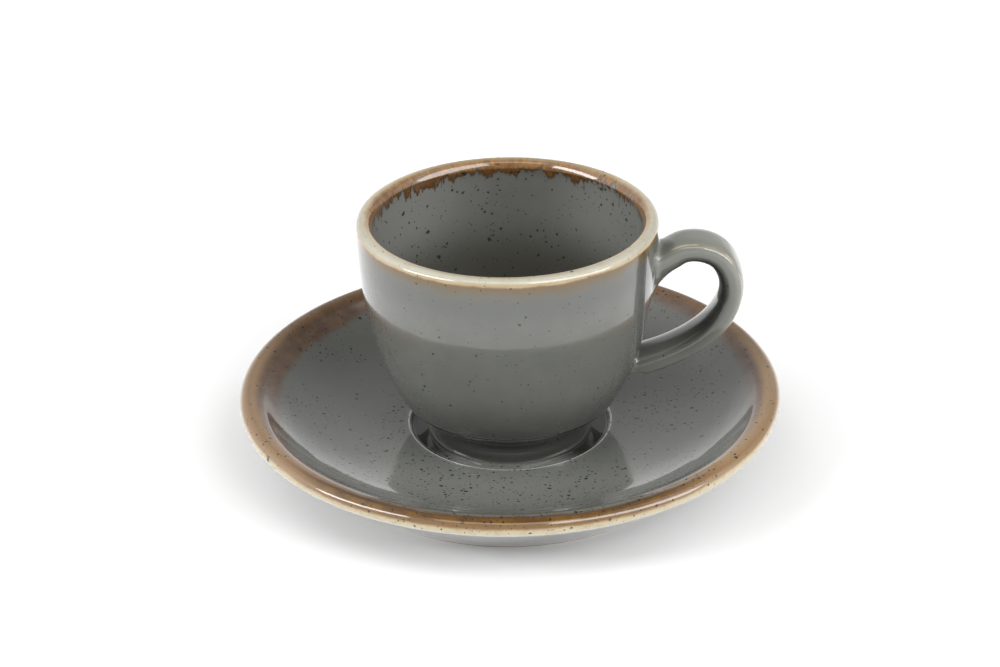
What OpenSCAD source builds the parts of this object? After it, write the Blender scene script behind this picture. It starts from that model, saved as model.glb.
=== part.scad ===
// Espresso cup with its saucer, glazed stoneware.
// Frame: millimetres, +Z up, origin at the centre of the saucer's foot on the table,
// the cup's handle points towards +X.

/* [Saucer] */
// outside diameter of the saucer's lip
saucer_d = 120; // [100:1:140]
// height of the lip's crest above the table
saucer_h = 18.7; // [15:0.1:24]
// thickness of the rolled lip
saucer_lip = 4.2; // [3:0.1:6]
// slope of the wall just inside the lip, degrees
saucer_wall_a = 38; // [32:1:44]
// radius of the inner rounding between that wall and the crest
saucer_crest_r = 5.6; // [4:0.1:7]
// outside diameter of the foot ring
saucer_foot_d = 80; // [70:1:90]
// width of the foot ring's standing face
saucer_foot_w = 3; // [2:0.1:5]
// depth of the hollow inside the foot ring
saucer_hollow = 3; // [1:0.1:4]

/* [Cup well in the saucer] */
// diameter of the well's edge
well_d = 45; // [40:0.5:50]
// height of the well's edge above the table
well_edge_z = 8.7; // [8:0.1:11]
// height of the well's floor, which the cup stands on
well_floor_z = 7.5; // [6:0.1:9]

/* [Cup] */
// outside diameter of the cup's lip
cup_d = 65.2; // [58:0.2:72]
// height of the cup from its foot to the top of its lip
cup_h = 51.4; // [46:0.2:58]
// thickness of the cup's rolled lip
cup_lip = 3.3; // [2.6:0.1:4.5]
// outside diameter of the cup's foot at its bottom edge
cup_foot_d = 36.6; // [32:0.2:40]
// width of the foot ring at the bottom
cup_foot_w = 2.9; // [2:0.1:4]
// depth of the hollow under the cup
cup_hollow = 1.4; // [0.8:0.1:2]
// thickness of the cup's floor
cup_floor_t = 4.6; // [3.5:0.1:6]

/* [Handle] */
// thickness of the handle strap, seen from the side
handle_t = 5.4; // [4:0.1:7]
// width of the handle strap
handle_w = 10; // [7:0.2:13]
// how much wider the strap grows where it joins the wall
handle_flare = 0.36; // [0:0.02:0.6]

/* [Colours] */
// grey glaze
grey = [0.42, 0.42, 0.40];
// grey glaze of the handle
grey_handle = [0.46, 0.46, 0.43];

/* [Hidden] */
$fn = 96;
eps = 0.01;

// profile curves are [radius, height] lists

function arc(c, r, a0, a1, n) =
    [for (i = [0:n]) let (a = a0 + (a1 - a0) * i / n) c + r * [cos(a), sin(a)]];

function cat(p0, p1, p2, p3, t) =
    0.5 * (2 * p1 + (p2 - p0) * t + (2 * p0 - 5 * p1 + 4 * p2 - p3) * t * t
        + (3 * p1 - p0 - 3 * p2 + p3) * t * t * t);

// a smooth curve through the points, n steps a span
function curve(p, n) =
    let (m = len(p) - 1)
    [for (i = [0:m - 1], k = [0:n - 1])
        cat(p[max(i - 1, 0)], p[i], p[i + 1], p[min(i + 2, m)], k / n), p[m]];

function reversed(p) = [for (i = [len(p) - 1:-1:0]) p[i]];

// rounded corner at k between the directions da and db that lead away from it
function fillet(k, da, db, r, n) =
    let (ua = da / norm(da), ub = db / norm(db),
         h = acos(ua * ub) / 2, c = k + (ua + ub) / norm(ua + ub) * r / sin(h),
         pa = k + ua * r / tan(h), pb = k + ub * r / tan(h),
         a0 = atan2(pa[1] - c[1], pa[0] - c[0]),
         a1 = atan2(pb[1] - c[1], pb[0] - c[0]),
         d = a1 - a0, dd = d > 180 ? d - 360 : d < -180 ? d + 360 : d)
    [for (i = [0:n]) let (a = a0 + dd * i / n) c + r * [cos(a), sin(a)]];

// ---- saucer profile
s_r = saucer_d / 2;
lip_r = saucer_lip / 2;
lip_c = [s_r - lip_r, saucer_h - lip_r];
crest_c = [lip_c[0], saucer_h - saucer_crest_r];
wall_end = crest_c + saucer_crest_r * [-sin(saucer_wall_a), cos(saucer_wall_a)];
well_edge = [well_d / 2, well_edge_z];
// the dish gets steeper from the well's edge to the wall: shares of the way out and of the rise
dish = [for (q = [[0.02, 0.007], [0.235, 0.091], [0.391, 0.165], [0.566, 0.278], [0.704, 0.411],
                  [0.798, 0.537], [0.855, 0.636], [0.908, 0.749], [0.955, 0.868], [1, 1]])
    [well_edge[0] + q[0] * (wall_end[0] - well_edge[0]),
     well_edge[1] + q[1] * (wall_end[1] - well_edge[1])]];
// the well's floor curves up to its edge: distance in from the edge, share of the well's depth
well_bowl = [for (q = [[1.9, 0], [1.2, 0.03], [0.8, 0.12], [0.56, 0.3], [0.37, 0.52], [0.18, 0.78]])
    [well_edge[0] - q[0], well_floor_z + q[1] * (well_edge_z - well_floor_z)]];
foot_r = saucer_foot_d / 2;
under_a = 36.8;
under_end = lip_c + lip_r * [sin(under_a), -cos(under_a)];
foot_top = [foot_r + 0.6, under_end[1] - (under_end[0] - foot_r - 0.6) * tan(under_a)];

function saucer_profile() = concat(
    [[0, well_floor_z]],
    curve(well_bowl, 2),
    fillet(well_edge, well_bowl[5] - well_edge, dish[1] - well_edge, 0.5, 3),
    curve(dish, 2),
    [for (i = [1:6]) let (a = 90 + saucer_wall_a * (1 - i / 6)) crest_c + saucer_crest_r * [cos(a), sin(a)]],
    [for (i = [1:6]) lip_c + lip_r * [cos(90 - 15 * i), sin(90 - 15 * i)]],
    [for (i = [1:3]) let (a = (under_a - 90) * i / 4) lip_c + lip_r * [cos(a), sin(a)]],
    [under_end],
    fillet([foot_r, 0], foot_top - [foot_r, 0], [-1, 0], 0.6, 4),
    fillet([foot_r - saucer_foot_w - 1, 0], [1, 0], [-0.35, 1], 0.5, 3),
    fillet([foot_r - saucer_foot_w - 1.8, saucer_hollow], [0.35, -1], [-1, 0], 1.4, 4),
    [[0, saucer_hollow]]);

// ---- cup profile, heights above the cup's own foot for the default size
ks = cup_d / 65.2;
kz = cup_h / 51.4;
c_lip_r = cup_lip / 2;
c_lip_c = [cup_d / 2 - c_lip_r, cup_h - c_lip_r];
wall_out = [[19.9, 6.5], [21.8, 7.4], [23.2, 8.5], [24.2, 9.7], [24.9, 11.0],
            [25.9, 13.0], [27.5, 16.8], [28.9, 21.0], [30.0, 25.4], [30.9, 30.0],
            [31.7, 35.0], [32.3, 41.0], [32.58, 46.5], [32.6, 49.75]];
wall_in = [[29.3, 49.75], [29.28, 46.5], [28.9, 41.0], [28.2, 35.0], [27.3, 29.5],
           [26.1, 24.5], [24.5, 19.5], [22.4, 15.0], [19.6, 11.2], [15.8, 8.2],
           [11, 6.7], [5.5, 6.1]];
c_foot_r = cup_foot_d / 2;
floor_z = cup_hollow + cup_floor_t;

function fit_out(p) = [for (q = p) [q[0] * ks, q[1] * kz]];
function fit_in(p) = [for (q = p) [q[0] * ks - (cup_lip - 3.3), q[1] * kz]];

// the foot narrows a little above its bottom edge: distance in from that edge, height
foot_out = [for (q = [[0, 0.45], [0.05, 0.95], [0.16, 1.5], [0.27, 2.1], [0.36, 2.8],
                      [0.38, 3.7], [0.2, 4.7], [-0.45, 5.6]])
    [c_foot_r - q[0], q[1]]];

// the outer skin from the foot's bottom edge up to the lip's outermost point
function cup_skin() = concat(foot_out, curve(fit_out(wall_out), 2));

function cup_profile() = concat(
    fillet([c_foot_r, 0], [-1, 0], [0, 1], 0.4, 3),
    cup_skin(),
    [for (i = [1:11]) let (a = 180 * i / 12) c_lip_c + c_lip_r * [cos(a), sin(a)]],
    curve(fit_in(wall_in), 2),
    [[0, floor_z], [0, cup_hollow]],
    fillet([c_foot_r - cup_foot_w - 1.2, cup_hollow], [-1, 0], [0.3, -1], 0.6, 3),
    fillet([c_foot_r - cup_foot_w - 0.8, 0], [-0.3, 1], [1, 0], 0.4, 3));

// ---- handle: the strap's centre line in the X-Z plane, heights above the table.
// Its section is flat with tight corners outside and rounder inside, next to the finger.
strap = [[28.0, 43.3], [30.0, 45.3], [32.0, 47.3], [34.5, 49.7], [38.0, 51.7],
         [42.1, 51.8], [45.6, 50.1], [47.7, 46.8], [48.4, 43.0], [47.7, 39.0],
         [45.9, 35.4], [43.3, 32.3], [40.0, 29.7], [36.4, 27.6], [33.0, 26.0],
         [29.5, 24.6], [26.0, 23.4], [23.5, 22.5]];
strap_pts = [for (q = strap) [q[0] * ks, well_floor_z + (q[1] - 7.5) * kz]];
strap_line = curve(strap_pts, 3);
sides = 24;

function swell(r) = let (d = max(0, 1 - max(0, r - 30.2) / 4.2)) handle_flare * d * d;

module strap_solid() {
    m = len(strap_line) - 1;
    rings = [for (i = [0:m])
        let (c = strap_line[i],
             d = strap_line[min(i + 1, m)] - strap_line[max(i - 1, 0)],
             u = d / norm(d), nx = -u[1], nz = u[0],
             g = 1 + swell(c[0]),
             a = g * handle_t / 2, b = (1 + 0.7 * swell(c[0])) * handle_w / 2)
        [for (j = [0:sides - 1])
            let (t = 360 * j / sides, ct = cos(t), st = sin(t),
                 p = ct > 0 ? 0.5 : 0.84,
                 x = a * sign(ct) * pow(abs(ct), p),
                 y = b * sign(st) * pow(abs(st), p))
            [c[0] + x * nx, y, c[1] + x * nz]]];
    pts = [for (r = rings) each r];
    faces = concat(
        [[for (j = [0:sides - 1]) j]],
        [for (i = [0:m - 1], j = [0:sides - 1])
            let (a = i * sides + j, b = i * sides + (j + 1) % sides)
            [a, a + sides, b + sides, b]],
        [[for (j = [sides - 1:-1:0]) m * sides + j]]);
    polyhedron(points = pts, faces = faces, convexity = 6);
}

module saucer() {
    color(grey)
        rotate_extrude() polygon(saucer_profile());
}

module cup_body() {
    color(grey)
        translate([0, 0, well_floor_z])
            rotate_extrude() polygon(cup_profile());
}

// everything inside the cup's outer skin, from below the strap to above it
module cup_core() {
    translate([0, 0, well_floor_z])
        rotate_extrude() polygon(concat([[0, 1]], cup_skin(), [[0, c_lip_c[1]]]));
}

module cup_handle() {
    color(grey_handle)
        difference() {
            strap_solid();
            cup_core();
        }
}

saucer();
cup_body();
cup_handle();
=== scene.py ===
import math

import bmesh
import bpy
from mathutils import Matrix, Quaternion, Vector, noise


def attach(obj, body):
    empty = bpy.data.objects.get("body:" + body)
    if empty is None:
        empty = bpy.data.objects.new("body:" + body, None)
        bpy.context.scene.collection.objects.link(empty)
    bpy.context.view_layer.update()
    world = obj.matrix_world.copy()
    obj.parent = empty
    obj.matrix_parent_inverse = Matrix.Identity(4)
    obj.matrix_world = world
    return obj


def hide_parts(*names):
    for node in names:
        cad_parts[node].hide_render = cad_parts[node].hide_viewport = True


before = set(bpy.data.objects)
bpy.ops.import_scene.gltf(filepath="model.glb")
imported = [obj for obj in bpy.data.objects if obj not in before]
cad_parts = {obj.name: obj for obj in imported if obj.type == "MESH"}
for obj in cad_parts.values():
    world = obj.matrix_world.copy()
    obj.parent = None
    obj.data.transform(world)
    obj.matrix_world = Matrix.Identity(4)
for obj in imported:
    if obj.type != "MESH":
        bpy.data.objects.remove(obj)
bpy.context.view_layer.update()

MM = 0.001

# ------------------------------------------------------------------ profiles
# The same construction as the CAD model: [radius, height] in millimetres.


def rad(a):
    return a * math.pi / 180.0


def arc(c, r, a0, a1, n):
    return [(c[0] + r * math.cos(rad(a0 + (a1 - a0) * i / n)),
             c[1] + r * math.sin(rad(a0 + (a1 - a0) * i / n))) for i in range(n + 1)]


def cat(p0, p1, p2, p3, t):
    return tuple(0.5 * (2 * b + (c - a) * t + (2 * a - 5 * b + 4 * c - d) * t * t
                        + (3 * b - a - 3 * c + d) * t * t * t)
                 for a, b, c, d in zip(p0, p1, p2, p3))


def curve(p, n):
    m = len(p) - 1
    out = []
    for i in range(m):
        for k in range(n):
            out.append(cat(p[max(i - 1, 0)], p[i], p[i + 1], p[min(i + 2, m)], k / n))
    out.append(tuple(p[m]))
    return out


def fillet(k, da, db, r, n):
    la, lb = math.hypot(*da), math.hypot(*db)
    ua, ub = (da[0] / la, da[1] / la), (db[0] / lb, db[1] / lb)
    h = math.acos(max(-1, min(1, ua[0] * ub[0] + ua[1] * ub[1]))) / 2
    s = (ua[0] + ub[0], ua[1] + ub[1])
    ls = math.hypot(*s)
    c = (k[0] + s[0] / ls * r / math.sin(h), k[1] + s[1] / ls * r / math.sin(h))
    t = r / math.tan(h)
    pa = (k[0] + ua[0] * t, k[1] + ua[1] * t)
    pb = (k[0] + ub[0] * t, k[1] + ub[1] * t)
    a0 = math.degrees(math.atan2(pa[1] - c[1], pa[0] - c[0]))
    a1 = math.degrees(math.atan2(pb[1] - c[1], pb[0] - c[0]))
    d = a1 - a0
    d = d - 360 if d > 180 else d + 360 if d < -180 else d
    return arc(c, r, a0, a0 + d, n)


def sub(a, b):
    return (a[0] - b[0], a[1] - b[1])


def resample(p, step):
    """Splits long spans so that no span is over step mm; short spans are kept."""
    out = [p[0]]
    for a, b in zip(p, p[1:]):
        n = max(1, math.ceil(math.hypot(b[0] - a[0], b[1] - a[1]) / step))
        for k in range(1, n + 1):
            out.append((a[0] + (b[0] - a[0]) * k / n, a[1] + (b[1] - a[1]) * k / n))
    return out


# saucer
S_R, S_H, S_LIP, WALL_A, CREST_R = 60.0, 18.7, 4.2, 38.0, 5.6
WELL_R, WELL_EDGE, WELL_Z = 22.5, 8.7, 7.5
FOOT_R, FOOT_W, HOLLOW = 40.0, 3.0, 3.0
lip_r = S_LIP / 2
lip_c = (S_R - lip_r, S_H - lip_r)
crest_c = (lip_c[0], S_H - CREST_R)
wall_end = (crest_c[0] - CREST_R * math.sin(rad(WALL_A)), crest_c[1] + CREST_R * math.cos(rad(WALL_A)))
well_edge = (WELL_R, WELL_EDGE)
# the dish gets steeper from the well's edge to the wall: shares of the way out and of the rise
DISH = [(well_edge[0] + q * (wall_end[0] - well_edge[0]), well_edge[1] + k * (wall_end[1] - well_edge[1]))
        for q, k in ((0.02, 0.007), (0.235, 0.091), (0.391, 0.165), (0.566, 0.278), (0.704, 0.411),
                     (0.798, 0.537), (0.855, 0.636), (0.908, 0.749), (0.955, 0.868), (1.0, 1.0))]
WELL_BOWL = [(WELL_R - q, WELL_Z + k * (WELL_EDGE - WELL_Z)) for q, k in
             ((1.9, 0.0), (1.2, 0.03), (0.8, 0.12), (0.56, 0.3), (0.37, 0.52), (0.18, 0.78))]
UNDER_A = 36.8
under_end = (lip_c[0] + lip_r * math.sin(rad(UNDER_A)), lip_c[1] - lip_r * math.cos(rad(UNDER_A)))
foot_top = (FOOT_R + 0.6, under_end[1] - (under_end[0] - FOOT_R - 0.6) * math.tan(rad(UNDER_A)))


def saucer_profile():
    p = [(0.0, WELL_Z)]
    p += curve(WELL_BOWL, 5)
    p += fillet(well_edge, sub(WELL_BOWL[5], well_edge), sub(DISH[1], well_edge), 0.5, 8)
    p += curve(DISH, 6)
    p += arc(crest_c, CREST_R, 90 + WALL_A, 90, 20)[1:]
    p += arc(lip_c, lip_r, 90, UNDER_A - 90, 40)[1:]
    p += fillet((FOOT_R, 0.0), sub(foot_top, (FOOT_R, 0.0)), (-1, 0), 0.6, 8)
    p += fillet((FOOT_R - FOOT_W - 1.0, 0.0), (1, 0), (-0.35, 1), 0.5, 6)
    p += fillet((FOOT_R - FOOT_W - 1.8, HOLLOW), (0.35, -1), (-1, 0), 1.4, 8)
    p += [(0.0, HOLLOW)]
    return p


# cup, heights above its own foot
CUP_R, CUP_H, CUP_LIP = 32.6, 51.4, 3.3
c_lip_r = CUP_LIP / 2
c_lip_c = (CUP_R - c_lip_r, CUP_H - c_lip_r)
WALL_OUT = [(19.9, 6.5), (21.8, 7.4), (23.2, 8.5), (24.2, 9.7), (24.9, 11.0),
            (25.9, 13.0), (27.5, 16.8), (28.9, 21.0), (30.0, 25.4), (30.9, 30.0),
            (31.7, 35.0), (32.3, 41.0), (32.58, 46.5), (32.6, 49.75)]
WALL_IN = [(29.3, 49.75), (29.28, 46.5), (28.9, 41.0), (28.2, 35.0), (27.3, 29.5),
           (26.1, 24.5), (24.5, 19.5), (22.4, 15.0), (19.6, 11.2), (15.8, 8.2),
           (11.0, 6.7), (5.5, 6.1)]
C_FOOT_R, C_FOOT_W, C_HOLLOW, C_FLOOR = 18.3, 2.9, 1.4, 4.6
# the foot narrows a little above its bottom edge
FOOT_OUT = [(C_FOOT_R - q, h) for q, h in
            ((0.0, 0.45), (0.05, 0.95), (0.16, 1.5), (0.27, 2.1), (0.36, 2.8),
             (0.38, 3.7), (0.2, 4.7), (-0.45, 5.6))]


def cup_outer():
    return curve(FOOT_OUT + WALL_OUT, 8)


def lip_roll():
    """Over the top of the lip from outside; the inner side is a flat bevel that rolls under into the wall."""
    p = arc(c_lip_c, c_lip_r, 0, 147, 50)[1:]
    a, n0, n1 = p[-1], rad(147), rad(158)
    c2 = (a[0] - 5.5 * math.cos(n0), a[1] - 5.5 * math.sin(n0))
    p += arc(c2, 5.5, 147, 158, 8)[1:]
    b = p[-1]
    c3 = (b[0] - 0.45 * math.cos(n1), b[1] - 0.45 * math.sin(n1))
    return p + arc(c3, 0.45, 158, 197, 8)[1:]


def cup_profile():
    p = fillet((C_FOOT_R, 0.0), (-1, 0), (0, 1), 0.4, 8)
    p += cup_outer()
    p += lip_roll()
    p += curve([p[-1], (29.21, 48.75), (29.30, 47.7), (29.24, 45.5)] + WALL_IN[2:], 8)[1:]
    p += [(0.0, C_HOLLOW + C_FLOOR), None, (0.0, C_HOLLOW)]
    p += fillet((C_FOOT_R - C_FOOT_W - 1.2, C_HOLLOW), (-1, 0), (0.3, -1), 0.6, 6)
    p += fillet((C_FOOT_R - C_FOOT_W - 0.8, 0.0), (-0.3, 1), (1, 0), 0.4, 6)
    return p


OUTER = cup_outer()


def wall_radius(z):
    """Radius of the cup's outer skin at a height z above the table, in mm."""
    h = z - WELL_Z
    for a, b in zip(OUTER, OUTER[1:]):
        if a[1] <= h <= b[1]:
            t = (h - a[1]) / (b[1] - a[1]) if b[1] > a[1] else 0
            return a[0] + (b[0] - a[0]) * t
    return CUP_R if h > 40 else C_FOOT_R


# ------------------------------------------------------------------ meshes


def new_object(name, bm, coll=None):
    me = bpy.data.meshes.new(name)
    bm.to_mesh(me)
    bm.free()
    ob = bpy.data.objects.new(name, me)
    bpy.context.scene.collection.objects.link(ob)
    for f in me.polygons:
        f.use_smooth = True
    return ob


def lathe(name, prof, seg, lane, closed, warp=0.0, seed=0.0):
    """Turns a [radius, height] outline into a mesh. lane gives each outline point's value for the material."""
    bm = bmesh.new()
    layer = bm.verts.layers.float.new("lane")
    rings = []
    for (r, z), ln in zip(prof, lane):
        if r < 1e-6:
            v = bm.verts.new((0, 0, z * MM))
            v[layer] = ln
            rings.append([v])
            continue
        ring = []
        for j in range(seg):
            a = 2 * math.pi * j / seg
            v = bm.verts.new((r * MM * math.cos(a), r * MM * math.sin(a), z * MM))
            v[layer] = ln
            ring.append(v)
        rings.append(ring)
    pairs = list(zip(rings, rings[1:]))
    if closed:
        pairs.append((rings[-1], rings[0]))
    for a, b in pairs:
        if len(a) == 1 and len(b) == 1:
            continue
        for j in range(seg):
            k = (j + 1) % seg
            if len(a) == 1:
                bm.faces.new((a[0], b[j], b[k]))
            elif len(b) == 1:
                bm.faces.new((a[j], b[0], a[k]))
            else:
                bm.faces.new((a[j], b[j], b[k], a[k]))
    bmesh.ops.recalc_face_normals(bm, faces=bm.faces)
    if warp:
        # the slight unevenness of fired clay, always inwards so that the size holds
        bm.normal_update()
        moves = []
        for v in bm.verts:
            p = v.co * 1000.0
            n = noise.noise(Vector((p.x * 0.045 + seed, p.y * 0.045, p.z * 0.05)))
            n2 = noise.noise(Vector((p.x * 0.14, p.y * 0.14 + seed, p.z * 0.12)))
            d = warp * (0.5 + 0.5 * max(-1, min(1, 1.3 * n))) + warp * 0.12 * (0.5 + 0.5 * n2)
            moves.append(v.normal * (-d * MM))
        for v, m in zip(bm.verts, moves):
            v.co += m
    return new_object(name, bm)


def lane_values(prof, zero, flip=1.0):
    """Signed length along the outline, in mm, from the point nearest to zero."""
    i0 = min(range(len(prof)), key=lambda i: math.hypot(prof[i][0] - zero[0], prof[i][1] - zero[1]))
    s = [0.0]
    for a, b in zip(prof, prof[1:]):
        s.append(s[-1] + math.hypot(b[0] - a[0], b[1] - a[1]))
    return [(v - s[i0]) * flip for v in s]


# saucer: lane 0 is the lip's crest, positive over the outside to the foot, negative inwards
sp = resample(saucer_profile(), 1.2)
saucer = lathe("saucer_glazed", sp, 320, lane_values(sp, (lip_c[0], S_H)), False, warp=0.05, seed=3.7)

# cup: lane 0 is the lip's top, positive down the outside, negative down the inside
raw = cup_profile()
cut = raw.index(None)
inner_end = cut  # index of the first underside point once None is dropped
raw = raw[:cut] + raw[cut + 1:]
outer_part = [(r, z + WELL_Z) for r, z in raw[:cut]]
under_part = [(r, z + WELL_Z) for r, z in raw[cut:]]
op = resample(outer_part, 1.1)
up = resample(under_part, 1.1)
full = up + op
lanes = lane_values(full, (c_lip_c[0], WELL_Z + CUP_H), flip=-1.0)
cup = lathe("cup_bowl", full, 256, lanes, False, warp=0.04, seed=9.2)

# ------------------------------------------------------------------ handle
STRAP = [(28.0, 43.3), (30.0, 45.3), (32.0, 47.3), (34.5, 49.7), (38.0, 51.7),
         (42.1, 51.8), (45.6, 50.1), (47.7, 46.8), (48.4, 43.0), (47.7, 39.0),
         (45.9, 35.4), (43.3, 32.3), (40.0, 29.7), (36.4, 27.6), (33.0, 26.0),
         (29.5, 24.6), (26.0, 23.4), (23.5, 22.5)]
H_T, H_W, SIDES = 5.4, 10.0, 72
# fillet radii where the strap meets the wall: outer side, finger side, flanks
TOP_R = (1.9, 6.0, 1.7)
LOW_R = (1.0, 2.2, 1.3)


def make_handle():
    line = curve(STRAP, 16)
    m = len(line) - 1
    frames = []
    for i, c in enumerate(line):
        d = sub(line[min(i + 1, m)], line[max(i - 1, 0)])
        ld = math.hypot(*d)
        frames.append((c, (d[0] / ld, d[1] / ld)))

    def outside(c):
        return c[0] - wall_radius(c[1])

    def section(i):
        """Flat with tight corners outside, rounder next to the finger; a little thicker towards the wall."""
        c, d = frames[i]
        nx, nz = -d[1], d[0]
        near = max(0.0, 1.0 - max(0.0, outside(c)) / 7.5)
        top = c[1] > 36
        pts = []
        for j in range(SIDES):
            t = 2 * math.pi * j / SIDES
            ct, st = math.cos(t), math.sin(t)
            p = 0.5 if ct > 0 else 0.84
            a = H_T / 2
            if ct < 0:
                a += (1.15 if top else 0.2) * near * near
            else:
                a += (0.1 if top else 0.0) * near * near
            b = H_W / 2 + (0.25 if top else 0.15) * near * near
            x = a * math.copysign(abs(ct) ** p, ct)
            y = b * math.copysign(abs(st) ** p, st)
            # a slight crown on the outer face
            if ct > 0:
                x -= 0.25 * (y / b) ** 2 * (abs(ct) ** 0.5)
            pts.append(Vector((c[0] + x * nx, y, c[1] + x * nz)))
        return pts

    def root_rings(i, sgn, radii, bend):
        """From the section at i into the wall: a fillet that meets the wall's skin smoothly.
        bend turns the outer side square to the wall."""
        c, d = frames[i]
        dirv = Vector((d[0] * sgn, 0, d[1] * sgn))
        square = Vector((-0.86, 0, 0.51))
        base = section(i)
        feet, dirs = [], []
        for j, p in enumerate(base):
            m_ = bend * max(0.0, math.cos(2 * math.pi * j / SIDES)) ** 0.7
            dj = (dirv * (1 - m_) + square * m_).normalized()
            lo, hi = 0.0, 16.0
            for _ in range(40):
                mid = (lo + hi) / 2
                q = p + dj * mid
                if math.hypot(q.x, q.y) > wall_radius(q.z):
                    lo = mid
                else:
                    hi = mid
            feet.append(p + dj * lo)
            dirs.append(dj)
        cen = sum(feet, Vector()) / len(feet)
        rings = []
        n = 16
        ends, starts = [], []
        for j, (p, w) in enumerate(zip(base, feet)):
            ct = math.cos(2 * math.pi * j / SIDES)
            r0 = radii[0] if ct > 0 else radii[1]
            r_f = radii[2] + (r0 - radii[2]) * ct * ct
            reach = min((w - p).length * 0.92, r_f * 1.15)
            er = Vector((w.x, w.y, 0)).normalized()
            o = w - cen
            o -= er * o.dot(er)
            o.normalize()
            f = w + o * r_f
            rr = wall_radius(f.z)
            er2 = Vector((f.x, f.y, 0)).normalized()
            f = Vector((er2.x * (rr - 0.03), er2.y * (rr - 0.03), f.z))
            starts.append(w - dirs[j] * reach)
            ends.append(f)
        # straight part from the section to the fillet's start
        for k in range(1, 5):
            rings.append([b.lerp(s, k / 4) for b, s in zip(base, starts)])
        for k in range(1, n + 1):
            t = k / n
            rings.append([s * (1 - t) ** 2 + w * (2 * t * (1 - t)) + e * t * t
                          for s, w, e in zip(starts, feet, ends)])
        # closed inside the wall
        inner = []
        for e in ends:
            er2 = Vector((e.x, e.y, 0)).normalized()
            inner.append(e - er2 * 0.5)
        rings.append(inner)
        return rings, cen - Vector((cen.x, cen.y, 0)).normalized() * 0.9

    # the stretch of the strap that is clear of both roots
    mid = max(range(m + 1), key=lambda i: line[i][0])
    i0 = min(i for i in range(mid) if outside(line[i]) > 3.4)
    i1 = max(i for i in range(mid, m + 1) if outside(line[i]) > 2.0)
    body = [section(i) for i in range(i0, i1 + 1)]
    top_rings, top_c = root_rings(i0, -1, TOP_R, 0.0)
    bot_rings, bot_c = root_rings(i1, 1, LOW_R, 1.0)
    rings = list(reversed(top_rings)) + body + bot_rings
    bm = bmesh.new()
    layer = bm.verts.layers.float.new("lane")
    edge = bm.verts.layers.float.new("edge")
    inside = bm.verts.layers.float.new("inside")
    nt, nb = len(top_rings), len(bot_rings)
    vr = []
    for k, ring in enumerate(rings):
        # lane: 0 at the wall, growing along the strap, negative on the lower half
        if k < nt:
            ln = 5.0 * k / nt
        elif k >= len(rings) - nb:
            ln = -5.0 * (len(rings) - 1 - k) / nb
        else:
            u, v = k - nt, len(rings) - nb - 1 - k
            ln = 5.0 + u * 0.3 if u < v else -5.0 - v * 0.3
        row = []
        for j, p in enumerate(ring):
            t = 2 * math.pi * j / SIDES
            v = bm.verts.new(p * MM)
            v[layer] = ln
            # 1 along the two outer corners of the strap
            a = math.degrees(math.atan2(abs(math.sin(t)) ** 0.9, math.cos(t)))
            v[edge] = math.exp(-((a - 45.0) / 9.0) ** 2)
            # 1 on the face next to the finger
            v[inside] = max(0.0, min(1.0, (a - 72.0) / 45.0))
            row.append(v)
        vr.append(row)
    for a, b in zip(vr, vr[1:]):
        for j in range(SIDES):
            k = (j + 1) % SIDES
            bm.faces.new((a[j], b[j], b[k], a[k]))
    for row, c in ((vr[0], top_c), (vr[-1], bot_c)):
        v = bm.verts.new(c * MM)
        for j in range(SIDES):
            k = (j + 1) % SIDES
            bm.faces.new((v, row[j], row[k]))
    bmesh.ops.recalc_face_normals(bm, faces=bm.faces)
    bm.normal_update()
    for v in bm.verts:
        p = v.co * 1000.0
        w = max(0.0, min(1.0, (math.hypot(p.x, p.y) - wall_radius(p.z) - 0.5) / 2.0))
        n = noise.noise(Vector((p.x * 0.12, p.y * 0.12 + 4.0, p.z * 0.12)))
        v.co += v.normal * (0.07 * n * w * MM)
    return new_object("handle_strap", bm)


handle = make_handle()

# ------------------------------------------------------------------ materials


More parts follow.
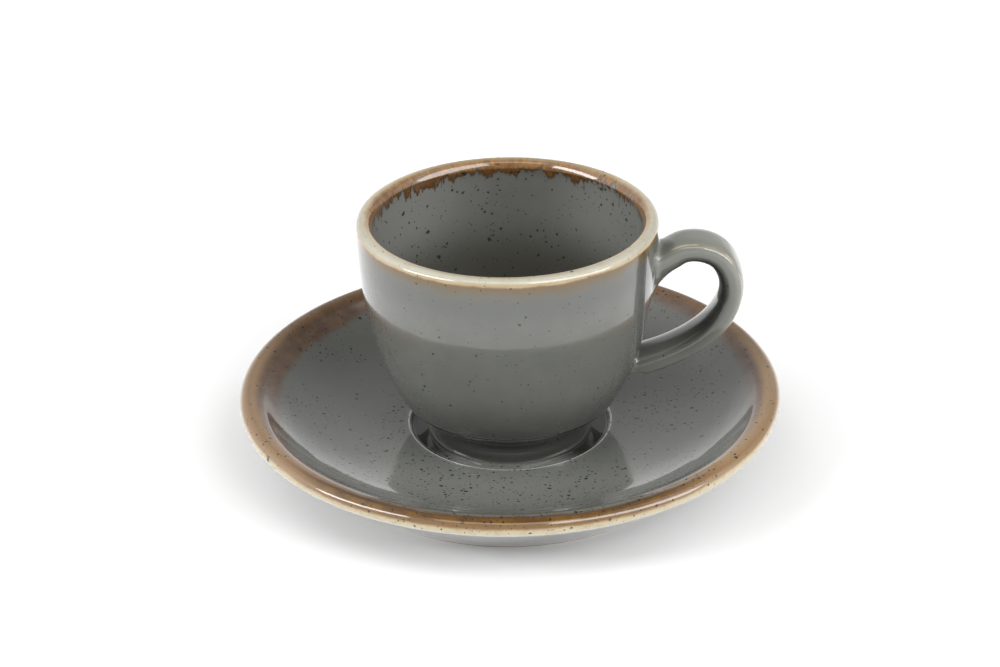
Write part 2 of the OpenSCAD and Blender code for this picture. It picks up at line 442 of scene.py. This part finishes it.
class Net:
    """Short names for shader nodes."""

    def __init__(self, name):
        self.mat = bpy.data.materials.new(name)
        self.mat.use_nodes = True
        self.t = self.mat.node_tree
        for n in list(self.t.nodes):
            self.t.nodes.remove(n)
        self.out = self.t.nodes.new("ShaderNodeOutputMaterial")
        self.bsdf = self.t.nodes.new("ShaderNodeBsdfPrincipled")
        self.t.links.new(self.bsdf.outputs[0], self.out.inputs[0])
        co = self.t.nodes.new("ShaderNodeTexCoord")
        sc = self.t.nodes.new("ShaderNodeVectorMath")
        sc.operation = "SCALE"
        sc.inputs["Scale"].default_value = 1000.0
        self.t.links.new(co.outputs["Object"], sc.inputs[0])
        self.co = sc.outputs[0]  # object coordinates in mm
        se = self.t.nodes.new("ShaderNodeSeparateXYZ")
        self.t.links.new(self.co, se.inputs[0])
        self.x, self.y, self.z = se.outputs
        at = self.t.nodes.new("ShaderNodeAttribute")
        at.attribute_name = "lane"
        self.lane = at.outputs["Fac"]

    def put(self, sock, v):
        if isinstance(v, (int, float)):
            sock.default_value = v
        elif isinstance(v, (tuple, list)):
            sock.default_value = tuple(v) + ((1.0,) if len(v) == 3 and len(sock.default_value) == 4 else ())
        else:
            self.t.links.new(v, sock)

    def m(self, op, a, b=0.0, c=0.0, clamp=False):
        n = self.t.nodes.new("ShaderNodeMath")
        n.operation = op
        n.use_clamp = clamp
        self.put(n.inputs[0], a)
        self.put(n.inputs[1], b)
        self.put(n.inputs[2], c)
        return n.outputs[0]

    def add(self, a, b):
        return self.m("ADD", a, b)

    def mul(self, a, b):
        return self.m("MULTIPLY", a, b)

    def step(self, v, lo, hi, out0=0.0, out1=1.0):
        """Smooth change from out0 at lo to out1 at hi."""
        n = self.t.nodes.new("ShaderNodeMapRange")
        n.interpolation_type = "SMOOTHSTEP"
        self.put(n.inputs[0], v)
        self.put(n.inputs[1], lo)
        self.put(n.inputs[2], hi)
        self.put(n.inputs[3], out0)
        self.put(n.inputs[4], out1)
        return n.outputs[0]

    def vec(self, x, y, z):
        n = self.t.nodes.new("ShaderNodeCombineXYZ")
        self.put(n.inputs[0], x)
        self.put(n.inputs[1], y)
        self.put(n.inputs[2], z)
        return n.outputs[0]

    def shift(self, v, off=(0, 0, 0), scale=(1, 1, 1)):
        n = self.t.nodes.new("ShaderNodeMapping")
        n.vector_type = "POINT"
        self.t.links.new(v, n.inputs[0])
        n.inputs["Location"].default_value = off
        n.inputs["Scale"].default_value = scale
        return n.outputs[0]

    def noise(self, v, size, detail=2.0, rough=0.5, dist=0.0):
        """Noise of about the given feature size in mm, 0 to 1 around 0.5."""
        n = self.t.nodes.new("ShaderNodeTexNoise")
        self.t.links.new(v, n.inputs["Vector"])
        n.inputs["Scale"].default_value = 1.0 / size
        n.inputs["Detail"].default_value = detail
        n.inputs["Roughness"].default_value = rough
        n.inputs["Distortion"].default_value = dist
        return n.outputs["Fac"]

    def spread(self, v, lo=0.35, hi=0.65):
        return self.step(v, lo, hi)

    def mix(self, f, a, b):
        n = self.t.nodes.new("ShaderNodeMix")
        n.data_type = "RGBA"
        n.clamp_factor = True
        self.put(n.inputs[0], f)
        self.put(n.inputs[6], a)
        self.put(n.inputs[7], b)
        return n.outputs[2]

    def specks(self, v, cell, size, seed, share=1.0, soft=0.35, smear=0.0):
        """Round specks: one Voronoi cell in share holds one of about size mm radius."""
        if smear:
            v = self.warp(v, 1.4, smear)
        n = self.t.nodes.new("ShaderNodeTexVoronoi")
        n.feature = "F1"
        self.t.links.new(self.shift(v, (seed, seed * 1.7, -seed)), n.inputs["Vector"])
        n.inputs["Scale"].default_value = 1.0 / cell
        n.inputs["Randomness"].default_value = 1.0
        d = self.mul(n.outputs["Distance"], cell)
        se = self.t.nodes.new("ShaderNodeSeparateColor")
        self.t.links.new(n.outputs["Color"], se.inputs[0])
        r = self.mul(self.add(0.45, self.mul(se.outputs[1], 0.75)), size)
        on = self.m("LESS_THAN", se.outputs[0], share)
        edge = self.m("SUBTRACT", r, d)
        return self.mul(self.step(edge, 0.0, size * soft), on)

    def warp(self, v, size, amount):
        n = self.t.nodes.new("ShaderNodeTexNoise")
        self.t.links.new(v, n.inputs["Vector"])
        n.inputs["Scale"].default_value = 1.0 / size
        n.inputs["Detail"].default_value = 1.0
        s = self.t.nodes.new("ShaderNodeVectorMath")
        s.operation = "MULTIPLY_ADD"
        self.t.links.new(n.outputs["Color"], s.inputs[0])
        s.inputs[1].default_value = (amount, amount, amount)
        self.t.links.new(v, s.inputs[2])
        return s.outputs[0]

    def bump(self, h, dist, strength=1.0, normal=None):
        n = self.t.nodes.new("ShaderNodeBump")
        n.inputs["Strength"].default_value = strength
        n.inputs["Distance"].default_value = dist * MM
        self.t.links.new(h, n.inputs["Height"])
        if normal is not None:
            self.t.links.new(normal, n.inputs["Normal"])
        return n.outputs[0]


GREY = (0.118, 0.121, 0.109)
GREY_LIGHT = (0.146, 0.149, 0.137)
GREY_DARK = (0.094, 0.096, 0.085)
GREY_COOL = (0.122, 0.128, 0.128)
SPECK = (0.012, 0.012, 0.008)
MAUVE = (0.134, 0.072, 0.039)
BROWN = (0.086, 0.040, 0.016)
AMBER = (0.142, 0.070, 0.013)
AMBER_DARK = (0.052, 0.024, 0.009)
CREAM = (0.445, 0.365, 0.225)
CREAM_PALE = (0.470, 0.440, 0.345)
TAN = (0.250, 0.165, 0.090)
CLAY = (0.430, 0.385, 0.320)


def finish_glaze(n, colour, matte, dots, fine_h):
    b = n.bsdf
    n.put(b.inputs["Base Color"], colour)
    rough = n.step(n.noise(n.co, 9.0, 3.0), 0.3, 0.7, 0.16, 0.24)
    rough = n.m("MAXIMUM", rough, n.mul(matte, 0.75))
    n.put(b.inputs["Roughness"], rough)
    b.inputs["IOR"].default_value = 1.5
    b.inputs["Specular IOR Level"].default_value = 0.22
    b.inputs["Coat Weight"].default_value = 1.0
    b.inputs["Coat Roughness"].default_value = 0.045
    b.inputs["Coat IOR"].default_value = 1.52
    # a long soft wave, a faint orange peel, and shallow pits where the iron specks burnt through
    h = n.add(n.mul(n.noise(n.co, 7.0, 1.0), 0.9), n.mul(n.noise(n.co, 1.9, 1.0), 0.10))
    h = n.add(h, n.mul(dots, -0.05))
    h = n.add(h, fine_h)
    nb = n.bump(h, 0.03)
    n.put(b.inputs["Normal"], nb)
    n.put(b.inputs["Coat Normal"], nb)


def grey_base(n):
    """The body glaze: a mottled warm grey."""
    big = n.spread(n.noise(n.co, 24.0, 3.0, 0.55))
    mid = n.spread(n.noise(n.shift(n.co, (31, 7, 5)), 4.5, 4.0, 0.6), 0.3, 0.7)
    fine = n.spread(n.noise(n.shift(n.co, (3, 47, 15)), 0.7, 3.0, 0.65), 0.3, 0.7)
    c = n.mix(n.mul(big, 0.40), GREY, GREY_LIGHT)
    c = n.mix(n.mul(mid, 0.26), c, GREY_DARK)
    return n.mix(n.mul(fine, 0.14), c, GREY_LIGHT)


def centred(n, v, k):
    """A noise value moved to swing k either side of nothing."""
    return n.mul(n.m("SUBTRACT", v, 0.5), k)


def saucer_material():
    n = Net("saucer_glaze_mat")
    lane = n.lane
    wide = n.noise(n.shift(n.co, (13, 4, 8)), 26.0, 2.0, 0.5)
    wob = n.noise(n.co, 6.0, 3.0, 0.6)
    fine = n.noise(n.shift(n.co, (2, 9, 1)), 1.1, 3.0, 0.6)
    jag = n.add(centred(n, wob, 1.7), centred(n, fine, 0.7))
    c = n.mix(0.5, grey_base(n), (0.140, 0.148, 0.129))
    # brown band on the inner wall: widest on one side, running out towards the front
    edge = n.add(n.add(n.add(lane, centred(n, wob, 2.8)), centred(n, fine, 1.2)), centred(n, wide, 2.8))
    edge = n.add(edge, n.add(n.step(n.x, -55.0, 20.0, 1.8, -0.5), n.step(n.y, 5.0, 45.0, 0.0, -0.6)))
    edge = n.add(edge, n.step(n.y, -10.0, -52.0, 0.0, -5.6))
    band = n.step(edge, -7.2, -4.4)
    mot = n.spread(n.noise(n.shift(n.co, (9, 2, 4)), 5.0, 4.0, 0.65))
    brown = n.mix(mot, MAUVE, BROWN)
    flame = n.spread(n.noise(n.shift(n.co, (1, 8, 2)), 3.2, 4.0, 0.6), 0.45, 0.66)
    brown = n.mix(n.mul(flame, 0.38), brown, (0.200, 0.100, 0.040))
    top = n.mix(n.mul(band, 0.94), c, brown)
    # the crest is tan; at one side a thin dark line runs along it, then amber, then the pale break on the roll
    front = n.step(n.y, -34.0, -52.0)
    rim = n.add(lane, n.mul(jag, 0.35))
    back = n.step(n.y, 2.0, 28.0, 0.0, 0.54)
    crest = n.mul(n.step(rim, -3.2, -0.9), n.m("SUBTRACT", n.m("SUBTRACT", 0.82, n.mul(front, 0.74)), back))
    top = n.mix(crest, top, n.mix(n.step(n.x, 5.0, 45.0), (0.300, 0.188, 0.096), (0.380, 0.250, 0.135)))
    dark = n.mul(n.step(rim, -0.7, 0.1), n.step(rim, 0.95, 0.45))
    top = n.mix(n.mul(dark, n.add(0.15, n.mul(front, 0.65))), top, (0.062, 0.032, 0.014))
    amb = n.step(rim, 0.25, 0.95)
    amber = n.mix(n.spread(n.noise(n.shift(n.co, (4, 3, 2)), 2.4, 3.0)), AMBER, (0.095, 0.044, 0.010))
    amber = n.mix(front, (0.250, 0.150, 0.070), amber)
    top = n.mix(amb, top, amber)
    outer = n.add(lane, n.mul(n.m("SUBTRACT", 1.0, front), 0.60))
    tan = n.step(n.add(outer, n.mul(jag, 0.35)), 1.5, 2.2)
    top = n.mix(n.mul(tan, 0.50), top, TAN)
    lip = n.step(n.add(outer, n.mul(jag, 0.40)), 2.60, 3.40)
    pale = n.step(n.add(outer, n.mul(jag, 0.3)), 3.3, 4.2)
    cream = n.mix(n.mul(pale, 0.85), CREAM, CREAM_PALE)
    cream = n.mix(n.mul(n.spread(n.noise(n.shift(n.co, (5, 5, 9)), 2.4, 4.0, 0.6), 0.45, 0.7), 0.24), cream, TAN)
    top = n.mix(lip, top, cream)
    # painted light: the front of the dish is made lighter where the cup shades it
    light = n.mul(n.mul(n.step(n.y, -17.0, -30.0), n.step(n.m("ABSOLUTE", n.x), 50.0, 26.0)), n.step(lane, -5.0, -9.0))
    top = n.mix(n.mul(light, 0.62), top, (0.205, 0.208, 0.190))
    # grey again under the lip, painted darker there as shade
    und = n.step(n.add(lane, n.mul(jag, 0.30)), 4.7, 5.4)
    top = n.mix(und, top, n.mix(0.78, c, (0.036, 0.037, 0.032)))
    # the glaze breaks pale along the edge of the well; a painted highlight on the rounded edge adds a wide glow
    # outside the bright line
    r = n.m("SQRT", n.add(n.mul(n.x, n.x), n.mul(n.y, n.y)))
    on_top = n.step(n.z, 6.0, 7.0)
    glow = n.mul(n.step(r, 24.4, 22.6), n.step(r, 22.0, 22.5))
    line = n.mul(n.step(r, 22.95, 22.75), n.step(r, 22.22, 22.36))
    top = n.mix(n.mul(n.mul(glow, on_top), 0.30), top, (0.21, 0.215, 0.20))
    top = n.mix(n.mul(n.mul(line, on_top), 0.95), top, (0.58, 0.575, 0.54))
    # glaze pooled in the well's corner is darker, and painted shade darkens the well's floor under the cup except at
    # the front
    pool_and_shade = n.mul(n.m("MAXIMUM", n.step(r, 20.6, 21.2), n.step(n.y, -17.5, -11.5)), n.step(r, 22.36, 22.2))
    top = n.mix(n.mul(n.mul(pool_and_shade, on_top), 0.94), top, (0.012, 0.012, 0.009))
    # bare clay on the foot's standing face
    foot = n.mul(n.step(n.z, 0.45, 0.2), n.step(lane, 20.0, 21.0))
    top = n.mix(foot, top, CLAY)
    # specks: patches of dense fine ones, sparse ones between
    upper = n.step(lane, 4.5, 2.5)
    patch = n.step(n.noise(n.shift(n.co, (60, 3, 8)), 20.0, 2.0), 0.40, 0.60, 0.16, 1.0)
    patch = n.mul(patch, n.add(0.3, n.mul(upper, 0.7)))
    dense = n.mul(n.step(n.add(n.y, centred(n, wob, 9.0)), -15.0, -27.0), n.step(n.m("ABSOLUTE", n.add(n.x, -9.0)), 48.0, 30.0))
    patch = n.m("MAXIMUM", patch, n.mul(dense, upper))
    s1 = n.specks(n.co, 1.25, 0.32, 11.0, n.mul(patch, 0.95), smear=0.35)
    s2 = n.specks(n.co, 2.1, 0.46, 37.0, n.mul(patch, 0.70), smear=0.7)
    s3 = n.specks(n.co, 0.85, 0.22, 5.0, n.mul(patch, 0.95))
    dots = n.m("MAXIMUM", n.mul(s1, 0.90), s2)
    dots = n.m("MAXIMUM", dots, n.mul(s3, 0.60))
    dots = n.mul(dots, n.m("SUBTRACT", 1.0, n.mul(foot, 0.8)))
    top = n.mix(n.mul(dots, 0.9), top, SPECK)
    finish_glaze(n, top, foot, dots, n.mul(n.noise(n.co, 0.35, 1.0), n.mul(foot, 1.5)))
    return n.mat


def cup_material():
    n = Net("cup_glaze_mat")
    lane = n.lane
    wide = n.noise(n.shift(n.co, (17, 2, 5)), 22.0, 2.0, 0.5)
    wob = n.noise(n.co, 5.0, 3.0, 0.6)
    fine = n.noise(n.shift(n.co, (7, 1, 3)), 1.0, 3.0, 0.6)
    ang = n.m("ARCTAN2", n.y, n.x)
    # runs down the wall: fine streaks that are long along the wall's height
    ring = n.vec(n.mul(n.m("SINE", ang), 30.0), n.mul(n.m("COSINE", ang), 30.0), n.mul(lane, 0.22))
    streak = n.add(n.mul(n.noise(ring, 2.7, 2.0, 0.6), 0.62), n.mul(n.noise(n.shift(ring, (5, 9, 2)), 0.75, 3.0, 0.6), 0.38))
    jag = n.add(centred(n, wob, 1.6), centred(n, fine, 0.6))
    c = grey_base(n)
    # outside, from the lip down: pale break, cream, a tan line, a streaky tan halo, a cool fringe
    low = n.add(n.add(n.add(lane, n.mul(jag, 0.8)), centred(n, streak, 3.4)), centred(n, wide, 2.2))
    cool = n.mul(n.step(low, 4.0, 6.0), n.step(low, 13.0, 7.0))
    col = n.mix(n.mul(cool, 0.62), c, (0.094, 0.098, 0.093))
    halo = n.step(low, 6.4, 3.0)
    col = n.mix(n.mul(halo, 0.74), col, (0.118, 0.086, 0.044))
    near_l = n.add(n.add(lane, n.mul(jag, 0.45)), centred(n, wide, 1.0))
    line = n.step(near_l, 3.9, 2.7)
    col = n.mix(n.mul(line, 0.85), col, (0.152, 0.088, 0.030))
    cream = n.mix(n.step(near_l, 2.0, 1.3), (0.400, 0.320, 0.200), (0.420, 0.405, 0.335))
    crest = n.mix(n.step(n.m("ABSOLUTE", n.x), 12.0, 28.0), (0.345, 0.280, 0.168), (0.520, 0.435, 0.290))
    cream = n.mix(n.step(n.add(lane, n.mul(jag, 0.3)), 0.8, -0.2), cream, crest)
    cream = n.mix(n.mul(n.spread(n.noise(n.shift(n.co, (5, 5, 9)), 2.6, 4.0, 0.6), 0.45, 0.7), 0.28), cream, (0.34, 0.26, 0.160))
    lip = n.step(near_l, 2.75, 2.05)
    col = n.mix(lip, col, cream)
    # inside: amber band with streaks that run down the wall
    side = n.step(n.m("ABSOLUTE", n.x), 6.0, 22.0)
    tongue = n.add(n.add(-4.3, n.mul(n.m("SUBTRACT", streak, 0.5), n.add(-8.0, n.mul(side, -9.0)))), n.add(centred(n, wide, -2.0), centred(n, fine, 1.2)))
    depth = n.m("SUBTRACT", lane, tongue)       # mm above the drips' tips
    amber = n.mix(n.spread(streak, 0.36, 0.62), (0.300, 0.146, 0.040), (0.150, 0.066, 0.018))
    amber = n.mix(n.mul(n.spread(n.noise(n.shift(n.co, (8, 8, 1)), 3.0, 3.0), 0.4, 0.7), 0.4), amber, (0.200, 0.155, 0.110))
    near = n.step(depth, 2.0, 0.1)
    amber = n.mix(n.mul(near, 0.85), amber, AMBER_DARK)
    fleck = n.mul(n.spread(n.noise(n.shift(n.co, (2, 6, 4)), 0.9, 2.0), 0.52, 0.66), n.step(depth, 3.2, 1.0))
    amber = n.mix(n.mul(fleck, 0.60), amber, (0.040, 0.038, 0.027))
    # inside, painted light makes the wall lighter at both sides near the lip, and painted shade makes it darker
    # towards the bottom
    painted_side_light = n.mul(n.step(lane, -32.0, -10.0), n.step(n.m("ABSOLUTE", n.x), 4.0, 22.0))
    c_in = n.mix(n.mul(painted_side_light, 0.75), c, (0.196, 0.199, 0.184))
    c_in = n.mix(n.mul(n.step(lane, -13.0, -27.0), 0.72), c_in, (0.044, 0.041, 0.031))
    wall_in = n.mix(n.step(depth, -0.5, 0.45), c_in, amber)
    below = n.step(n.add(lane, n.mul(jag, 0.5)), 0.25, -1.45)
    col = n.mix(below, col, wall_in)
    # foot: painted shade on the lower bowl and on the foot, a painted highlight line where the bowl meets the foot,
    # bare clay where it stands
    h = n.m("SUBTRACT", n.z, 7.5)
    col = n.mix(n.mul(n.mul(n.step(h, 22.0, 7.0), n.step(lane, 20.0, 30.0)), 0.92), col, (0.044, 0.045, 0.040))
    # painted highlight along the shoulder where the bowl meets the foot
    shoulder_highlight = n.mul(n.mul(n.step(h, 5.2, 5.7), n.step(h, 6.7, 6.1)), n.step(lane, 20.0, 30.0))
    col = n.mix(n.mul(shoulder_highlight, 0.50), col, (0.165, 0.167, 0.155))
    # painted shade on the foot's wall
    foot_shade = n.mul(n.step(n.add(h, centred(n, fine, 0.3)), 5.7, 5.0), n.step(lane, 20.0, 30.0))
    col = n.mix(n.mul(foot_shade, 0.80), col, (0.042, 0.043, 0.038))
    foot = n.mul(n.step(h, 0.4, 0.15), n.step(lane, 20.0, 30.0))
    col = n.mix(foot, col, CLAY)
    # specks
    inner_side = n.step(lane, -2.5, -4.5)
    share = n.add(0.36, n.mul(inner_side, 0.64))
    patch = n.step(n.noise(n.shift(n.co, (6, 33, 8)), 18.0, 2.0), 0.35, 0.65, 0.5, 1.0)
    share = n.mul(share, patch)
    off_lip = n.m("MAXIMUM", n.step(lane, -0.8, -2.4), n.step(lane, 2.0, 4.0))
    s1 = n.specks(n.co, 1.5, 0.33, 23.0, n.mul(share, 0.80), smear=0.6)
    s2 = n.mul(n.specks(n.co, 2.6, 0.50, 71.0, n.mul(share, 0.65), smear=1.0), off_lip)
    s3 = n.specks(n.co, 1.0, 0.24, 13.0, n.mul(share, 0.85))
    dots = n.m("MAXIMUM", n.mul(s1, 0.90), s2)
    dots = n.m("MAXIMUM", dots, n.mul(s3, 0.6))
    dots = n.mul(dots, n.m("SUBTRACT", 1.0, n.mul(foot, 0.8)))
    col = n.mix(n.mul(dots, 0.82), col, SPECK)
    finish_glaze(n, col, foot, dots, n.mul(n.noise(n.co, 0.35, 1.0), n.mul(foot, 1.5)))
    return n.mat


def handle_material():
    n = Net("handle_glaze_mat")
    c = grey_base(n)
    # painted light: lighter towards the top of the strap, darker towards its lower arm
    c = n.mix(n.step(n.z, 22.0, 44.0, 0.45, 0.80), c, (0.205, 0.210, 0.182))
    # the glaze breaks pale along the strap's two outer edges, with a warm tint beside the pale line
    at = n.t.nodes.new("ShaderNodeAttribute")
    at.attribute_name = "edge"
    e = n.add(at.outputs["Fac"], centred(n, n.noise(n.co, 2.2, 3.0), 0.5))
    warm = n.mul(n.step(e, 0.15, 0.55), n.step(n.noise(n.co, 4.0, 3.0), 0.30, 0.55))
    c = n.mix(n.mul(warm, 0.58), c, (0.225, 0.186, 0.118))
    pale = n.mul(n.step(e, 0.60, 0.95), n.step(n.noise(n.shift(n.co, (4, 4, 4)), 5.0, 2.0), 0.38, 0.52))
    c = n.mix(n.mul(pale, 0.75), c, (0.420, 0.385, 0.290))
    # painted shade on the finger side, between the strap and the cup, strongest at the outer bend
    side = n.t.nodes.new("ShaderNodeAttribute")
    side.attribute_name = "inside"
    finger_shade = n.step(n.x, 33.0, 44.0, 0.42, 0.92)
    c = n.mix(n.mul(side.outputs["Fac"], finger_shade), c, (0.016, 0.016, 0.013))
    s1 = n.specks(n.co, 2.2, 0.26, 23.0, 0.16, smear=0.5)
    s2 = n.specks(n.co, 4.0, 0.42, 71.0, 0.25, smear=0.9)
    s3 = n.specks(n.co, 1.1, 0.13, 13.0, 0.12)
    dots = n.m("MAXIMUM", n.mul(s1, 0.85), s2)
    dots = n.m("MAXIMUM", dots, n.mul(s3, 0.5))
    c = n.mix(n.mul(dots, 0.9), c, SPECK)
    zero = n.mul(n.x, 0.0)
    finish_glaze(n, c, zero, dots, zero)
    return n.mat


def dress(ob, mat):
    ob.data.materials.clear()
    ob.data.materials.append(mat)


dress(saucer, saucer_material())
dress(cup, cup_material())
dress(handle, handle_material())

for ob, body, node, slot in ((saucer, "saucer", "saucer", "saucer_glaze"),
                             (cup, "cup", "cup_body", "cup_glaze"),
                             (handle, "cup", "cup_handle", "handle_glaze")):
    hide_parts(node)
    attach(ob, body)

# ------------------------------------------------------------------ floor


FLOOR_GLOW = 0.06  # a light table: it keeps the shadows pale


def make_floor():
    bm = bmesh.new()
    n = 24
    size = 3.0
    grid = [[bm.verts.new(((i / n - 0.5) * 2 * size, (j / n - 0.5) * 2 * size, -0.0001))
             for j in range(n + 1)] for i in range(n + 1)]
    for i in range(n):
        for j in range(n):
            bm.faces.new((grid[i][j], grid[i + 1][j], grid[i + 1][j + 1], grid[i][j + 1]))
    ob = new_object("floor_plane", bm)
    mat = bpy.data.materials.new("floor_mat")
    mat.use_nodes = True
    b = mat.node_tree.nodes["Principled BSDF"]
    b.inputs["Base Color"].default_value = (0.93, 0.93, 0.93, 1)
    b.inputs["Roughness"].default_value = 0.9
    b.inputs["Specular IOR Level"].default_value = 0.1
    b.inputs["Emission Color"].default_value = (1, 1, 1, 1)
    b.inputs["Emission Strength"].default_value = FLOOR_GLOW
    ob.data.materials.append(mat)
    return ob


make_floor()

# ------------------------------------------------------------------ light

# The room: soft light, strong at the sides and weak behind the object, with a bright low horizon.
# Rows are heights above the horizon in degrees; columns go round clockwise seen from above,
# from the camera's side over the left to the back.
ROOM_AZ = (-180.0, -150.0, -122.5, -87.5, -62.0, -45.0, 0.0, 45.0, 68.0, 80.0, 95.0, 122.5, 150.0, 180.0)
ROOM = ((7.0, (0.30, 0.40, 0.75, 1.70, 1.10, 0.80, 1.05, 0.60, 0.60, 1.20, 1.50, 0.60, 0.40, 0.30)),
        (9.5, (0.30, 0.40, 0.70, 1.70, 1.10, 0.72, 0.85, 0.32, 0.55, 1.30, 1.60, 0.55, 0.40, 0.30)),
        (22.0, (0.10, 0.30, 0.60, 1.70, 1.10, 0.62, 0.45, 0.35, 0.55, 1.40, 1.60, 0.50, 0.30, 0.10)),
        (54.0, (0.30, 0.60, 1.00, 1.30, 1.00, 0.75, 0.02, 0.20, 0.40, 1.30, 1.60, 1.00, 0.60, 0.30)),
        (80.0, (0.10,) * 14))


def make_room():
    world = bpy.data.worlds.new("studio")
    world.use_nodes = True
    t = world.node_tree
    bg = t.nodes["Background"]

    def math_node(op, a, b=0.0):
        n = t.nodes.new("ShaderNodeMath")
        n.operation = op
        for sock, v in zip(n.inputs, (a, b)):
            if isinstance(v, (int, float)):
                sock.default_value = v
            else:
                t.links.new(v, sock)
        return n.outputs[0]

    co = t.nodes.new("ShaderNodeTexCoord")
    se = t.nodes.new("ShaderNodeSeparateXYZ")
    t.links.new(co.outputs["Generated"], se.inputs[0])
    az = math_node("ARCTAN2", se.outputs[0], se.outputs[1])
    az = math_node("ADD", math_node("DIVIDE", az, 2 * math.pi), 0.5)
    el = math_node("MULTIPLY", math_node("ARCSINE", se.outputs[2]), 180.0 / math.pi)
    total, last = None, None
    for height, row in ROOM:
        ramp = t.nodes.new("ShaderNodeValToRGB")
        ramp.color_ramp.interpolation = "EASE"
        els = ramp.color_ramp.elements
        while len(els) < len(row):
            els.new(0.5)
        for e, a, v in zip(els, ROOM_AZ, row):
            e.position = a / 360.0 + 0.5
        for e, v in zip(els, row):
            e.color = (v / 4.0, v / 4.0, v / 4.0, 1.0)
        t.links.new(az, ramp.inputs[0])
        if total is None:
            total = ramp.outputs[0]
        else:
            up = t.nodes.new("ShaderNodeMapRange")
            up.interpolation_type = "SMOOTHSTEP"
            t.links.new(el, up.inputs[0])
            up.inputs[1].default_value = last
            up.inputs[2].default_value = height
            mx = t.nodes.new("ShaderNodeMix")
            mx.data_type = "RGBA"
            t.links.new(up.outputs[0], mx.inputs[0])
            t.links.new(total, mx.inputs[6])
            t.links.new(ramp.outputs[0], mx.inputs[7])
            total = mx.outputs[2]
        last = height
    t.links.new(total, bg.inputs["Color"])
    bg.inputs["Strength"].default_value = 4.0
    bpy.context.scene.world = world


make_room()


def softbox(name, loc, aim, w, h, power, roll=0.0):
    li = bpy.data.lights.new(name, "AREA")
    li.shape = "RECTANGLE"
    li.size = w
    li.size_y = h
    li.energy = power
    ob = bpy.data.objects.new(name, li)
    ob.location = loc
    d = Vector(aim) - Vector(loc)
    ob.rotation_euler = (d.to_track_quat("-Z", "Y") @ Quaternion((0, 0, 1), rad(roll))).to_euler()
    bpy.context.scene.collection.objects.link(ob)
    return ob


# soft panels left and right of the camera, and one above it
softbox("softbox_left", (-1.013, -0.562, 0.640), (0, 0, 0.05), 0.90, 0.26, 9.4, 33.0)
softbox("softbox_right", (0.913, -0.639, 0.720), (0, 0, 0.05), 1.50, 0.46, 13.4, -32.0)
softbox("softbox_top", (0.0, -0.689, 1.152), (0, 0, 0.05), 1.05, 0.41, 3.5)

# ------------------------------------------------------------------ camera

cam_data = bpy.data.cameras.new("camera")
cam_data.sensor_fit = "HORIZONTAL"
cam_data.sensor_width = 36.0
cam_data.lens = 82.572
cam_data.clip_start = 0.01
cam_data.clip_end = 20.0
cam = bpy.data.objects.new("camera", cam_data)
bpy.context.scene.collection.objects.link(cam)
right = Vector((0.998500, 0.052990, -0.013742))
up_v = Vector((-0.012367, 0.462890, 0.886330))
back = right.cross(up_v).normalized()
up_v = back.cross(right).normalized()
right.normalize()
rot = Matrix((right, up_v, back)).transposed().to_4x4()
cam.matrix_world = Matrix.Translation(Vector((0.025014, -0.447417, 0.264093))) @ rot
bpy.context.scene.camera = cam

sc = bpy.context.scene
sc.view_settings.view_transform = "Standard"
sc.view_settings.look = "None"
sc.view_settings.exposure = 0.0
sc.view_settings.gamma = 1.0
